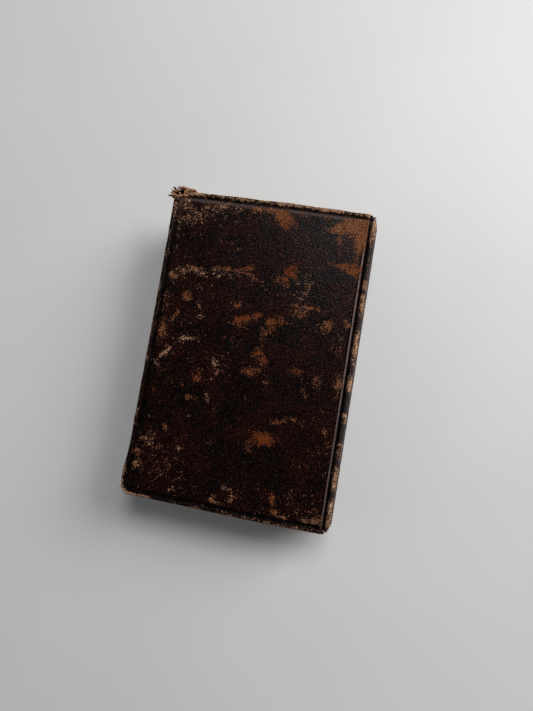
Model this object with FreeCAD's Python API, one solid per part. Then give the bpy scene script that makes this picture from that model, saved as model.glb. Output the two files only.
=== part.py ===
import FreeCAD, Part

import math
import os

from FreeCAD import Vector

# A small leather-bound prayer book, shut and lying on its back cover. All sizes are in millimetres.
# +X points to the spine, +Y to the head and +Z up, out of the front cover.
# The origin is the centre of the underside. Everything is symmetric about the middle of the thickness,
# so the back cover's pieces are the front cover's, mirrored.

# Overall sizes
BOOK_WIDTH = 80.0  # from the fore-edge of the covers to the crown of the spine
BOOK_HEIGHT = 118.0  # from head to tail, over the covers

# Leaves
GATHERINGS_PER_HALF = 6
GATHERING_THICK = 1.2
LEAF_GAP = 0.1  # air between one gathering and the next
FLYLEAF_THICK = 0.2
SQUARE = 2.5  # how far the covers stand past the leaves at head, tail and fore-edge
LEAF_CORNER_RADIUS = 2.5
GUTTER_GAP = 0.2  # between the turning leaves and their sewn folds
FOLD_NECK = 2.4  # the flat front part of each sewn fold, before it splays into the shoulder

# Covers
BOARD_THICK = 2.0
LEATHER_THICK = 0.6
TURN_IN_THICK = 0.3  # the leather is pared where it is folded over the board's edges
TURN_IN_WIDTH = 11.0
PASTEDOWN_THICK = 0.15
PASTEDOWN_INSET = 2.0
COVER_GAP = 0.4  # between pastedown and flyleaf when shut
COVER_CORNER_RADIUS = 4.0
COVER_EDGE_RADIUS = 0.5
TOOLED_INSET = 1.2  # plain rim outside the tooled line
TOOLED_WIDTH = 1.7
TOOLED_DEPTH = 0.25

# Spine and joints
SPINE_DEPTH = 4.3  # from the boards' back edge to the crown of the spine
SPINE_BACK_RADIUS = 60.0
SHOULDER_RADIUS = 1.2
SHOULDER_DROP = 0.5  # the spine's shoulders lie this far below the covers' outer faces
GROOVE_DROP = 1.4  # and the joint's groove this far
GROOVE_WIDTH = 1.8
JOINT_GAP = 0.3  # between the boards' back edge and the spine's leather
CAP_REACH = 2.4  # how far the leather turns in over the ends of the spine
CAP_CORNER_RADIUS = 3.0  # the ends of the spine are rounded in plan

# What is inside the spine
INLAY_THICK = 0.5
LINING_THICK = 0.3
TAPE_THICK = 0.25
TAPE_WIDTH = 7.0
TAPE_STATIONS = (-30.0, 0.0, 30.0)
TAPE_SLIP_LENGTH = 15.0  # the part of each tape that is let into the boards
THREAD_RADIUS = 0.2
KETTLE_RADIUS = 0.35
KETTLE_INSET = 8.0  # from the ends of the leaves to the kettle stitches
THREAD_CLEARANCE = 0.05
THREAD_SET = 1.2  # from the front of the folds to the thread
ENDBAND_RADIUS = 0.8

NEAR = 1e-6  # two places closer than this are the same

# Places worked out from the sizes
COVER_THICK = LEATHER_THICK + BOARD_THICK + TURN_IN_THICK + PASTEDOWN_THICK
PITCH = GATHERING_THICK + LEAF_GAP
BLOCK_HALF = GATHERINGS_PER_HALF * PITCH - LEAF_GAP / 2
MIDDLE = COVER_THICK + COVER_GAP + FLYLEAF_THICK + LEAF_GAP + BLOCK_HALF
TOP = 2 * MIDDLE
HALF_WIDTH = BOOK_WIDTH / 2
HALF_HEIGHT = BOOK_HEIGHT / 2
LEAF_HALF_HEIGHT = HALF_HEIGHT - SQUARE
BOARD_BACK = HALF_WIDTH - SPINE_DEPTH
SPINE_FRONT = BOARD_BACK + JOINT_GAP
FOLD_FRONT = SPINE_FRONT - FOLD_NECK
BOARD_OUTER = TOP - LEATHER_THICK
BOARD_INNER = BOARD_OUTER - BOARD_THICK
TURN_IN_FACE = BOARD_INNER - TURN_IN_THICK
PASTEDOWN_FACE = TURN_IN_FACE - PASTEDOWN_THICK
BACK_CENTRE = HALF_WIDTH - SPINE_BACK_RADIUS
SHOULDER_RISE = MIDDLE - SHOULDER_DROP - SHOULDER_RADIUS
SHOULDER_X = BACK_CENTRE + math.sqrt((SPINE_BACK_RADIUS - SHOULDER_RADIUS) ** 2 - SHOULDER_RISE**2)
INLAY_OUTER = LEATHER_THICK
LINING_OUTER = INLAY_OUTER + INLAY_THICK
FOLD_OUTER = LINING_OUTER + LINING_THICK
TAPE_INNER = FOLD_OUTER + TAPE_THICK
HINGE_X = BOARD_BACK + GROOVE_WIDTH / 2


def block(x, y, z):
    """A box between two x, two y and two z values."""
    return Part.makeBox(x[1] - x[0], y[1] - y[0], z[1] - z[0], Vector(x[0], y[0], z[0]))


def across(half_length):
    """The y values of something centred on the book's height."""
    return (-half_length, half_length)


def upright_at(edge, x):
    """True for a vertical edge at this x."""
    start, end = [v.Point for v in edge.Vertexes]
    return math.hypot(start.x - end.x, start.y - end.y) < NEAR and abs(start.x - x) < NEAR


def rounded_in_plan(box, x, radius):
    """The box with its two vertical edges at x rounded."""
    return box.makeFillet(radius, [e for e in box.Edges if upright_at(e, x)])


def slab(fore, back, half_height, z, radius):
    """A flat sheet with its two fore-edge corners rounded."""
    return rounded_in_plan(block((fore, back), across(half_height), z), fore, radius)


def along_y(points, half_length):
    """A prism through x, z points, along the book's height."""
    corners = [Vector(x, -half_length, z) for x, z in points]
    outline = Part.makePolygon(corners + corners[:1])
    return Part.Face(outline).extrude(Vector(0, 2 * half_length, 0))


def rod(x, z, radius, half_length):
    """A round bar along the book's height."""
    return Part.makeCylinder(radius, 2 * half_length, Vector(x, -half_length, z), Vector(0, 1, 0))


def mirrored(shape):
    """The same piece on the other side of the middle of the thickness."""
    return shape.mirror(Vector(0, 0, MIDDLE), Vector(0, 0, 1))


def spine_form(inset, half_length):
    """The filled shape of the spine behind the boards, with its skin taken off to the depth of inset."""
    rise = min(SHOULDER_RISE, MIDDLE - SHOULDER_DROP - inset)
    back = rod(BACK_CENTRE, MIDDLE, SPINE_BACK_RADIUS - inset, half_length)
    behind = block((SHOULDER_X, HALF_WIDTH), across(half_length), (MIDDLE - rise, MIDDLE + rise))
    floor = TOP - GROOVE_DROP - inset
    joints = block((SPINE_FRONT, SHOULDER_X), across(half_length), (TOP - floor, floor))
    form = back.common(behind).fuse(joints)
    radius = SHOULDER_RADIUS - inset
    if radius > 0:
        shoulder = rod(SHOULDER_X, MIDDLE + SHOULDER_RISE, radius, half_length)
        form = form.fuse([shoulder, mirrored(shoulder)])
    return form.removeSplitter()


def spine_skin(outer, inner, half_length):
    """One layer of the spine, between two depths."""
    return spine_form(outer, half_length).cut(spine_form(inner, half_length))


def capped_form(inset):
    """The spine's filled shape with rounded ends, drawn in on all its outer sides."""
    back = HALF_WIDTH - inset
    plan = block((0, back), across(HALF_HEIGHT - inset), (0, TOP))
    rounded = rounded_in_plan(plan, back, CAP_CORNER_RADIUS - inset)
    return spine_form(inset, HALF_HEIGHT).common(rounded)


def spine_leather():
    """The skin of the spine, turned in over both its ends."""
    mouth = spine_form(CAP_REACH, HALF_HEIGHT)
    return capped_form(0).cut([capped_form(LEATHER_THICK), mouth])


def spine_inlay():
    layer = spine_skin(INLAY_OUTER, LINING_OUTER, HALF_HEIGHT - CAP_CORNER_RADIUS)
    height = (MIDDLE - SHOULDER_RISE, MIDDLE + SHOULDER_RISE)
    return layer.common(block((SHOULDER_X, BOOK_WIDTH), across(HALF_HEIGHT), height))


def spine_lining():
    return spine_skin(LINING_OUTER, FOLD_OUTER, LEAF_HALF_HEIGHT)


def tape_band(y, margin):
    """The flat tape that crosses the sewn folds at one station, or with a margin the groove it lies in."""
    half_width = TAPE_WIDTH / 2 + margin
    layer = spine_skin(FOLD_OUTER, TAPE_INNER + margin, LEAF_HALF_HEIGHT)
    height = (MIDDLE - BLOCK_HALF - margin, MIDDLE + BLOCK_HALF + margin)
    return layer.common(block((SHOULDER_X, BOOK_WIDTH), (y - half_width, y + half_width), height))


def sewing_tapes():
    return Part.makeCompound([tape_band(y, 0) for y in TAPE_STATIONS])


def gathering_levels():
    """The bottom and top of each gathering, from the front cover down."""
    tops = [MIDDLE + BLOCK_HALF - i * PITCH for i in range(2 * GATHERINGS_PER_HALF)]
    return [(top - GATHERING_THICK, top) for top in tops]


def splayed(z, x):
    """Where a line between two folds has got to at x, behind the boards."""
    full = MIDDLE - SHOULDER_DROP - FOLD_OUTER
    growth = (full / BLOCK_HALF - 1) * (x - SPINE_FRONT) / (SHOULDER_X - SPINE_FRONT)
    return MIDDLE + (z - MIDDLE) * (1 + growth)


def sewn_fold(low, high):
    """The back of one gathering: flat in front, and splayed towards the shoulder behind."""
    outline = [
        (FOLD_FRONT, low),
        (SPINE_FRONT, low),
        (HALF_WIDTH, splayed(low, HALF_WIDTH)),
        (HALF_WIDTH, splayed(high, HALF_WIDTH)),
        (SPINE_FRONT, high),
        (FOLD_FRONT, high),
    ]
    neck = block((FOLD_FRONT, SPINE_FRONT), across(LEAF_HALF_HEIGHT), (low, high))
    limits = spine_form(FOLD_OUTER, LEAF_HALF_HEIGHT).fuse(neck)
    return along_y(outline, LEAF_HALF_HEIGHT).common(limits)


def gathering_folds():
    taken = [thread_run(low, high, THREAD_CLEARANCE) for low, high in gathering_levels()]
    taken += [kettle_stitch(side, THREAD_CLEARANCE) for side in (-1, 1)]
    taken += [tape_band(y, THREAD_CLEARANCE) for y in TAPE_STATIONS]
    folds = [sewn_fold(low, high).cut(taken) for low, high in gathering_levels()]
    return Part.makeCompound([solid for fold in folds for solid in fold.Solids])


def thread_run(low, high, margin):
    """The thread inside one fold, between the kettle stitches."""
    half_length = LEAF_HALF_HEIGHT - KETTLE_INSET - KETTLE_RADIUS - 2 * THREAD_CLEARANCE + margin
    return rod(FOLD_FRONT + THREAD_SET, (low + high) / 2, THREAD_RADIUS + margin, half_length)


def sewing_thread():
    return Part.makeCompound([thread_run(low, high, 0) for low, high in gathering_levels()])


def kettle_stitch(side, margin):
    """The chain of linked stitches across the folds, near one end of the spine."""
    radius = KETTLE_RADIUS + margin
    x = FOLD_FRONT + THREAD_SET
    y = side * (LEAF_HALF_HEIGHT - KETTLE_INSET)
    return Part.makeCylinder(radius, 2 * BLOCK_HALF, Vector(x, y, MIDDLE - BLOCK_HALF))


def kettle_stitches():
    return Part.makeCompound([kettle_stitch(side, 0) for side in (-1, 1)])


def endband(side):
    """The silk roll at one end of the folds, bent to the spine's curve."""
    y = side * (LEAF_HALF_HEIGHT + ENDBAND_RADIUS)
    ring_radius = SPINE_BACK_RADIUS - FOLD_OUTER - ENDBAND_RADIUS
    ring = Part.makeTorus(ring_radius, ENDBAND_RADIUS, Vector(BACK_CENTRE, y, MIDDLE), Vector(0, 1, 0))
    height = (MIDDLE - BLOCK_HALF, MIDDLE + BLOCK_HALF)
    return ring.common(block((0, BOOK_WIDTH), across(HALF_HEIGHT), height))


def cover_sheet(inset, z):
    """A slab of the front cover's outline, drawn in from its three free edges."""
    fore = -HALF_WIDTH + inset
    radius = COVER_CORNER_RADIUS - inset
    return slab(fore, BOARD_BACK, HALF_HEIGHT - inset, z, radius)


def window(inset, z):
    """The space inside the turned-in leather, open towards the spine."""
    margin = TURN_IN_WIDTH + inset
    return block((-HALF_WIDTH + margin, BOARD_BACK), across(HALF_HEIGHT - margin), z)


def outer_rim(edge):
    """True for the edges round the top of the cover's three free sides."""
    box = edge.BoundBox
    return box.ZMin > TOP - NEAR and box.XMin < BOARD_BACK - NEAR


def cover_leather():
    whole = cover_sheet(0, (TURN_IN_FACE, TOP))
    whole = whole.makeFillet(COVER_EDGE_RADIUS, [e for e in whole.Edges if outer_rim(e)])
    board = cover_sheet(LEATHER_THICK, (BOARD_INNER, BOARD_OUTER))
    depth = (TOP - TOOLED_DEPTH, TOP)
    line = cover_sheet(TOOLED_INSET, depth).cut(cover_sheet(TOOLED_INSET + TOOLED_WIDTH, depth))
    return whole.cut([board, window(0, (TURN_IN_FACE, BOARD_INNER)), line])


def tape_slip(y):
    """The end of a tape, let into the inner face of the front board."""
    half_width = TAPE_WIDTH / 2
    depth = (BOARD_INNER, BOARD_INNER + TAPE_THICK)
    return block((BOARD_BACK - TAPE_SLIP_LENGTH, BOARD_BACK), (y - half_width, y + half_width), depth)


def tape_slips():
    return Part.makeCompound([tape_slip(y) for y in TAPE_STATIONS])


def board():
    sheet = cover_sheet(LEATHER_THICK, (BOARD_INNER, BOARD_OUTER))
    return sheet.cut([tape_slip(y) for y in TAPE_STATIONS])


def pastedown():
    """The paper on the inside of the cover: over the turned-in leather, and down on to the board inside it."""
    fore = -HALF_WIDTH + PASTEDOWN_INSET
    half_height = HALF_HEIGHT - PASTEDOWN_INSET
    paper = block((fore, BOARD_BACK), across(half_height), (PASTEDOWN_FACE, TURN_IN_FACE))
    raised = paper.fuse(window(0, (PASTEDOWN_FACE, BOARD_INNER)))
    hollow = window(PASTEDOWN_THICK, (PASTEDOWN_FACE, BOARD_INNER - PASTEDOWN_THICK))
    return raised.cut(hollow).removeSplitter()


def fore_edge(low, high):
    """The fore-edge of the leaves is hollowed by the same curve that rounds the back."""
    height = (low + high) / 2 - MIDDLE
    outermost = math.sqrt(SPINE_BACK_RADIUS**2 - BLOCK_HALF**2)
    return -HALF_WIDTH + SQUARE + math.sqrt(SPINE_BACK_RADIUS**2 - height**2) - outermost


def leaves(low, high):
    """The free part of one gathering."""
    back = FOLD_FRONT - GUTTER_GAP
    return slab(fore_edge(low, high), back, LEAF_HALF_HEIGHT, (low, high), LEAF_CORNER_RADIUS)


def flyleaf():
    low = MIDDLE + BLOCK_HALF + LEAF_GAP
    fore = -HALF_WIDTH + SQUARE
    back = FOLD_FRONT - GUTTER_GAP
    return slab(fore, back, LEAF_HALF_HEIGHT, (low, low + FLYLEAF_THICK), LEAF_CORNER_RADIUS)


def pieces():
    """Every piece of the book, by name."""
    made = {
        "spine_leather": spine_leather(),
        "spine_inlay": spine_inlay(),
        "spine_lining": spine_lining(),
        "sewing_tapes": sewing_tapes(),
        "gathering_folds": gathering_folds(),
        "sewing_thread": sewing_thread(),
        "kettle_stitches": kettle_stitches(),
        "head_band": endband(1),
        "tail_band": endband(-1),
    }
    front = {
        "cover_leather": cover_leather(),
        "board": board(),
        "tape_slips": tape_slips(),
        "pastedown": pastedown(),
        "flyleaf": flyleaf(),
    }
    for name, shape in front.items():
        made["front_" + name] = shape
        made["back_" + name] = mirrored(shape)
    for number, (low, high) in enumerate(gathering_levels(), start=1):
        made[f"gathering_{number:02d}"] = leaves(low, high)
    return made


os.makedirs("parts", exist_ok=True)
for piece_name, piece in pieces().items():
    piece.exportStep(f"parts/{piece_name}.step")
print(f"The covers turn about x = {HINGE_X:.2f}, at z = {TOP:.2f} in front and z = 0 behind.")
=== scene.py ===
import math
import random

import bmesh
import bpy
import numpy as np
from mathutils import Matrix, Vector, noise


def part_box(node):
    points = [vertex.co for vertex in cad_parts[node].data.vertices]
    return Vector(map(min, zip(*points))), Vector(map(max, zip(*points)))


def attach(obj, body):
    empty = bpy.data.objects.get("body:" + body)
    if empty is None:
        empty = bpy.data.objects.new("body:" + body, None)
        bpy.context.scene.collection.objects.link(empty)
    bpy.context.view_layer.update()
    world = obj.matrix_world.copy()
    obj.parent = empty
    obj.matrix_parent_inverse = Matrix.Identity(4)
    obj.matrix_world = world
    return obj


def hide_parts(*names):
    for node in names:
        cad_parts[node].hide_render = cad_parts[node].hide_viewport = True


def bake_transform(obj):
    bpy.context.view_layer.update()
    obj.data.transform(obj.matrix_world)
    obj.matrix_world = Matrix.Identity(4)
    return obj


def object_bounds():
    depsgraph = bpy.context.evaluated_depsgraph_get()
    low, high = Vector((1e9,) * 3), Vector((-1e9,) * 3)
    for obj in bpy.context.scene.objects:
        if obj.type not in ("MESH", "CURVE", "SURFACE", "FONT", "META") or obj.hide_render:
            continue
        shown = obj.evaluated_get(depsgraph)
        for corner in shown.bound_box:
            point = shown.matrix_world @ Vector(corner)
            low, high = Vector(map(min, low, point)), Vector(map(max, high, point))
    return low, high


# A small, worn, leather-bound prayer book. Lengths in the mesh code are in millimetres, in the frame's axes:
# +X to the spine, +Y to the head, +Z up out of the front cover. MM turns them into metres.
MM = 0.001

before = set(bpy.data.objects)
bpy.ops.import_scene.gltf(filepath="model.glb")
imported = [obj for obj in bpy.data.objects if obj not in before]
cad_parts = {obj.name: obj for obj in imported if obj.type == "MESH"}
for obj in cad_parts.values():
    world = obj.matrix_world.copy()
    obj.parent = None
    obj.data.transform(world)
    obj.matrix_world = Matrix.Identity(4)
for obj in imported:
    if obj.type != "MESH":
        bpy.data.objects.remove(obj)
cad_low, cad_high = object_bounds()


def box_mm(node):
    low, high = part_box(node)
    return low / MM, high / MM


# ---------------------------------------------------------------- places read from the frame
COVER_LOW, COVER_HIGH = box_mm("front_cover_leather")
SPINE_HIGH = box_mm("spine_leather")[1]

TOP = COVER_HIGH.z
MIDDLE = TOP / 2
FORE = COVER_LOW.x
BOARD_BACK = COVER_HIGH.x
HALF_HEIGHT = COVER_HIGH.y
COVER_THICK = TOP - COVER_LOW.z

# ---------------------------------------------------------------- the leather's own sizes
GATHERINGS = 12
CORNER_RADIUS = 4.0
CORNER_REACH = 10.0  # the grid is squared up again this far from a corner
GRID_STEP = 0.65
JOINT_STEP = 0.19
JOINT_START = BOARD_BACK + 0.25  # the board's back edge begins to roll down
JOINT_FLOOR = BOARD_BACK + 1.05  # and reaches the bottom of the joint
SEAM = BOARD_BACK + 1.65  # where the cover's leather runs in under the spine's
JOINT_DEPTH = 1.45
JOINT_LEATHER = 0.9  # the edge is this thick where there is no board inside it
RIDGE_HEIGHT = 0.20  # a crease stands up along the board's back edge
LEATHER_SHELL = 0.42
TAIL_FLARE = 0.75  # the fore-edge's lower corner is pushed outwards
HEAD_BOW, TAIL_BOW = 1.05, 0.65  # the head and tail bow outwards
FORE_BOW = -0.25  # the fore-edge is hollow, as far as the board inside lets it be
FACE_SWELL, FACE_DIMPLE = (0.07, 13), (0.03, 4)  # unevenness of the face: height, size
EDGE_SWELL, EDGE_NICK = (0.16, 5), (0.07, 1.4)  # unevenness of the edges
UNDER_FACE = 1.2  # points of the edge section further below the face than this are not part of it


def smoothstep(low, high, value):
    t = min(max((value - low) / (high - low), 0.0), 1.0)
    return t * t * (3 - 2 * t)


def rough(x, y, z, size, seed=0.0):
    """Smooth noise from -1 to 1 with features of about this size."""
    return noise.noise(Vector((x / size + seed, y / size - seed, z / size + 2 * seed)))


def new_object(name, points, faces, smooth=True):
    mesh = bpy.data.meshes.new(name)
    mesh.from_pydata((np.asarray(points, float) * MM).tolist(), [], faces)
    mesh.update()
    made = bpy.data.objects.new(name, mesh)
    bpy.context.scene.collection.objects.link(made)
    work = bmesh.new()
    work.from_mesh(mesh)
    bmesh.ops.recalc_face_normals(work, faces=work.faces)
    work.to_mesh(mesh)
    work.free()
    mesh.polygons.foreach_set("use_smooth", [smooth] * len(mesh.polygons))
    return made


def set_values(made, **values):
    """Give every point of a mesh its own value of each name, for the material to read."""
    for name, numbers in values.items():
        layer = made.data.attributes.new(name, "FLOAT", "POINT")
        layer.data.foreach_set("value", np.asarray(numbers, np.float32))


# ---------------------------------------------------------------- wear, by place on the front cover
# Each patch: x, y, half length, half width, turn in degrees, strength, paleness (0 orange tan, 1 cream).
FRONT_PATCHES = [
    # along the head
    (-36, 55, 5.0, 3.5, 0, 0.62, 0.85),
    (-30, 50, 8.0, 3.5, 20, 0.46, 0.90),
    (-22, 54.5, 5.5, 2.2, 5, 0.72, 0.80),
    (-13, 54, 3.0, 1.8, 0, 0.50, 0.85),
    (-5.5, 55.3, 3.2, 1.3, 0, 0.85, 0.45),
    (1, 55.5, 4.5, 1.3, 0, 0.92, 0.40),
    (5, 53.2, 3.4, 2.8, -20, 1.15, 0.25),
    (11.5, 55.5, 3.0, 1.0, 0, 0.60, 0.40),
    (20.5, 55.6, 2.2, 1.2, -10, 0.85, 0.35),
    # the wedge at the head of the joint
    (31.5, 53.6, 5.0, 3.2, 12, 1.25, 0.42),
    (26.0, 51.4, 4.0, 1.1, 8, 1.00, 0.42),
    (34.4, 49.0, 2.2, 5.2, 0, 1.25, 0.38),
    (26.6, 47.0, 1.3, 1.0, 0, 0.72, 0.45),
    (27.4, 43.0, 0.9, 0.8, 0, 0.60, 0.50),
    (29.2, 37.9, 3.6, 1.1, -4, 1.00, 0.25),
    (33.8, 37.0, 2.6, 2.1, -10, 1.15, 0.20),
    # upper half
    (-15, 41.2, 3.2, 0.9, -5, 0.55, 0.30),
    (-12, 39.2, 2.6, 0.6, 5, 0.50, 0.35),
    (-35.4, 36.8, 0.8, 1.2, 0, 0.66, 0.60),
    (10.8, 33.0, 2.3, 2.4, 30, 0.98, 0.10),
    (8.4, 30.2, 2.5, 1.3, 10, 0.90, 0.15),
    (9.2, 27.9, 2.2, 1.2, -20, 0.75, 0.30),
    (16.8, 27.0, 2.2, 5.0, -10, 0.50, 0.75),
    (-13.5, 31.2, 5.0, 0.9, 4, 0.90, 0.15),
    (-26, 30.2, 7.0, 0.6, 0, 0.62, 0.45),
    (-19.5, 28.8, 11.5, 1.3, 2, 0.62, 0.95),
    (-5.5, 32.8, 1.9, 1.2, 30, 0.76, 0.20),
    (-6.2, 30.6, 2.6, 1.0, -15, 0.74, 0.20),
    (-2.2, 29.0, 1.3, 0.7, 0, 0.62, 0.30),
    (-31.5, 29.2, 2.4, 0.6, 0, 0.85, 0.40),
    (-34.6, 26.4, 2.1, 1.5, -30, 0.88, 0.45),
    (-27.6, 18.8, 2.1, 1.9, 45, 0.98, 0.25),
    (-30.4, 12.6, 0.9, 2.1, -25, 0.62, 0.40),
    (-36.8, 15.0, 1.9, 2.6, 20, 0.62, 0.65),
    (-21.8, 13.0, 1.6, 4.0, 0, 0.42, 0.85),
    (-23, 22.0, 2.0, 1.0, -20, 0.44, 0.90),
    (-35.6, 4.6, 1.7, 3.0, 10, 0.92, 0.30),
    (-24.5, 2.8, 3.2, 0.50, 9, 1.15, 0.95),
    (-8.0, 18.4, 2.0, 1.2, -10, 0.86, 0.25),
    (20.0, 20.8, 5.6, 0.6, 1, 0.86, 0.30),
    (14.0, 21.2, 2.4, 0.5, -8, 0.66, 0.50),
    (16.2, 18.2, 2.5, 1.8, -10, 0.72, 0.30),
    (-5.6, 12.6, 3.0, 1.6, 25, 1.00, 0.12),
    (-1.0, 14.6, 2.4, 1.3, 20, 0.90, 0.12),
    (6.4, 13.0, 2.2, 2.0, 40, 0.95, 0.12),
    (9.8, 14.2, 2.2, 1.6, -20, 0.86, 0.18),
    (4.6, 8.6, 1.6, 2.2, -25, 0.82, 0.20),
    (-6.4, 4.5, 1.9, 3.0, 0, 0.44, 0.15),
    (26.2, 15.0, 2.7, 2.0, 20, 0.76, 0.35),
    (34.6, 17.0, 1.6, 1.7, 0, 0.80, 0.40),
    (33.0, 12.8, 3.0, 2.0, 20, 0.52, 0.50),
    (32.4, 7.6, 1.5, 1.2, 15, 0.72, 0.35),
    # lower half
    (3.0, 1.2, 2.6, 1.5, 15, 0.92, 0.12),
    (5.6, -1.4, 1.2, 1.9, 0, 0.84, 0.15),
    (2.2, -5.6, 3.2, 1.5, 14, 0.96, 0.20),
    (8.2, -8.6, 1.4, 1.4, 0, 0.56, 0.40),
    (18.3, -2.9, 2.1, 1.1, -5, 0.82, 0.12),
    (26.8, -5.6, 1.7, 2.2, 15, 0.76, 0.30),
    (34.6, -4.8, 1.5, 3.0, -8, 0.94, 0.45),
    (22.3, -10.0, 0.8, 2.0, 30, 0.72, 0.30),
    (-32.4, -3.7, 3.1, 0.50, 45, 1.20, 0.90),
    (-35.4, -8.5, 1.2, 0.6, 0, 0.66, 0.70),
    (-13.0, -4.5, 2.4, 2.6, 30, 0.46, 0.90),
    (-10.8, -8.2, 0.8, 1.8, -20, 0.70, 0.60),
    (-18.6, -11.8, 2.0, 1.6, 30, 0.88, 0.12),
    (-18.0, -8.8, 1.0, 1.4, 0, 0.66, 0.20),
    (-13.2, -11.2, 3.0, 0.6, 20, 0.74, 0.35),
    (-25.5, -14.0, 5.0, 1.0, -12, 0.42, 0.15),
    (-13.4, -17.5, 0.9, 2.4, 15, 0.58, 0.70),
    (-19.8, -19.0, 2.1, 0.7, 5, 0.82, 0.25),
    (15.4, -22.3, 2.9, 0.7, 12, 0.90, 0.18),
    (20.4, -20.6, 2.6, 0.7, 4, 0.80, 0.25),
    (23.6, -22.2, 1.3, 0.6, -20, 0.66, 0.25),
    (32.2, -23.0, 1.1, 1.2, 20, 0.68, 0.30),
    (-19.0, -26.0, 0.6, 0.5, 0, 0.70, 0.95),
    (10.4, -29.4, 3.9, 2.0, -3, 1.25, 0.05),
    (8.2, -31.0, 1.8, 1.2, 10, 0.86, 0.10),
    (5.8, -33.4, 1.4, 1.4, 45, 0.76, 0.30),
    (34.0, -27.8, 0.8, 0.6, -20, 0.82, 0.55),
    (-9.0, -34.0, 1.3, 0.7, -10, 0.72, 0.25),
    (-27.4, -31.4, 1.0, 1.1, 20, 0.72, 0.35),
    (-36.0, -32.4, 0.8, 1.0, 0, 0.74, 0.50),
    (-32.8, -38.0, 2.8, 2.6, 35, 0.62, 0.75),
    (-28.4, -39.4, 1.5, 1.3, 0, 0.72, 0.25),
    (-21.0, -38.4, 1.2, 0.7, 0, 0.60, 0.85),
    (-21.4, -41.9, 1.0, 0.5, 10, 0.62, 0.70),
    (-36.6, -42.4, 1.7, 2.2, 0, 0.86, 0.40),
    (-36.0, -47.0, 2.3, 1.6, -10, 0.78, 0.80),
    (-26.0, -46.0, 6.0, 5.0, 0, 0.32, 0.60),
    (0.2, -49.3, 2.2, 0.8, -8, 0.82, 0.70),
    (2.0, -52.4, 1.2, 2.0, 10, 0.74, 0.50),
    (-3.4, -54.4, 2.2, 1.1, -10, 0.88, 0.55),
    (17.2, -49.4, 0.9, 2.4, 12, 0.84, 0.05),
    (18.4, -54.0, 1.4, 1.6, 20, 0.78, 0.15),
    (22.4, -55.6, 2.6, 0.9, 0, 0.76, 0.50),
    (32.6, -54.8, 3.0, 1.3, 5, 0.88, 0.70),
    (-20.0, -53.4, 2.6, 0.8, 30, 0.60, 0.85),
    (28.0, -50.0, 7.0, 5.0, 0, 0.32, 0.55),
]

# The back cover's wear, in the same terms.
BACK_PATCHES = [
    (-34, 52, 5.0, 3.0, -40, 0.80, 0.50),
    (-34, -53, 4.0, 2.6, 40, 0.90, 0.45),
    (30, 52, 5.0, 2.0, 0, 0.75, 0.40),
    (33, -50, 2.6, 6.0, 0, 0.80, 0.30),
    (-8, 8, 9.0, 5.0, 30, 0.62, 0.25),
    (12, -18, 6.0, 3.0, -20, 0.72, 0.20),
    (4, 33, 5.0, 1.6, 10, 0.70, 0.30),
    (-22, -20, 3.0, 5.0, 15, 0.66, 0.35),
    (20, 16, 3.0, 2.2, 0, 0.76, 0.15),
    (-14, -42, 6.0, 1.2, -6, 0.66, 0.55),
    (-26, 30, 4.5, 1.0, 20, 0.70, 0.80),
    (25, -36, 3.0, 2.0, 35, 0.66, 0.35),
]

RIM_WIDTH = 2.1
RIM_BLOTCH, RIM_SPECK, RIM_GRIT, HEAD_BLOTCH = 5.0, 1.8, 0.9, 2.6  # sizes of the worn places along the rim
FACE_PALENESS = 0.84  # bare leather on the face is a little darker than on the rim
EDGE_PALENESS = 0.6


def patch_values(x, y, patches):
    """How worn the leather is at a place, and how pale the worn leather is there."""
    worn, pale, weight = 0.0, 0.0, 1e-6
    for px, py, length, width, turn, strength, paleness in patches:
        dx, dy = x - px, y - py
        if abs(dx) + abs(dy) > 3.0 * (length + width) + 3:
            continue
        c, s = math.cos(math.radians(turn)), math.sin(math.radians(turn))
        along = (dx * c + dy * s) / length
        over = (dy * c - dx * s) / width
        share = math.exp(-0.5 * (along * along + over * over) ** 1.1)
        worn = max(worn, strength * share) + 0.15 * min(worn, strength * share)
        pale += paleness * share
        weight += share
    return worn, pale / weight


# ---------------------------------------------------------------- the cover's leather
# The section through a cover's edge, from under the pastedown, round the board and on to the top:
# distance in from the outline, and height below the cover's face.
EDGE_SECTION = [
    (11.0, 2.88), (8.0, 2.88), (5.0, 2.88), (3.0, 2.88), (1.6, 2.87), (0.8, 2.82), (0.35, 2.66), (0.1, 2.35),
    (0.0, 1.95), (0.0, 1.5), (0.0, 1.1), (0.06, 0.75), (0.2, 0.42), (0.42, 0.18), (0.7, 0.05), (1.0, 0.0),
    (1.25, 0.03), (1.5, 0.16), (1.75, 0.32), (2.05, 0.40), (2.4, 0.36), (2.7, 0.22), (3.0, 0.07), (3.35, 0.0),
    (3.8, 0.0), (4.4, 0.0),
]
INNER_INSET = EDGE_SECTION[-1][0]


def corner_curve(share, inset):
    """From the squared-up grid, along one side and half way round a corner: distances from both outlines."""
    radius = max(CORNER_RADIUS - inset, 0.0)
    straight = CORNER_REACH - inset - radius
    run = share * (straight + radius * math.pi / 4)
    if run <= straight or radius == 0:
        return CORNER_REACH - run, inset
    angle = (run - straight) / radius
    return inset + radius * (1 - math.sin(angle)), inset + radius * (1 - math.cos(angle))


def steps(start, end, step):
    count = max(1, round(abs(end - start) / step))
    return [start + (end - start) * i / count for i in range(count + 1)]


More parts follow.
